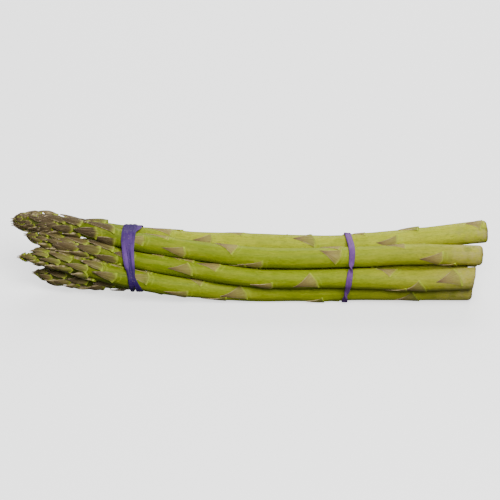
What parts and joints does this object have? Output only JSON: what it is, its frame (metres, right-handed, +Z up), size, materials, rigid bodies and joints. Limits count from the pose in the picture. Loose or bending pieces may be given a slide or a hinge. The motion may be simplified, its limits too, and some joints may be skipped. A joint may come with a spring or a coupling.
{
  "type": "asparagus bundle",
  "caption": "Bunch of green asparagus spears lying down, held together by a wide and a narrow rubber band.",
  "frame": {"origin": "middle of the bunch's footprint, on the surface it lies on", "axes": "+X along the spears towards the cut butts, +Z up, -Y towards the side the picture shows"},
  "size_m": [0.2258, 0.0405, 0.0379],
  "materials": {
    "asparagus": "smooth waxy plant skin with papery scale leaves",
    "rubber_band": "matt purple rubber"
  },
  "bodies": {
    "root": {"spear_upper_front": "asparagus", "spear_upper_back": "asparagus", "spear_middle_front": "asparagus", "spear_centre": "asparagus", "spear_middle_back": "asparagus", "spear_lower_front": "asparagus", "spear_lower_back": "asparagus", "band_wide": "rubber_band", "band_narrow": "rubber_band"}
  },
  "joints": []
}
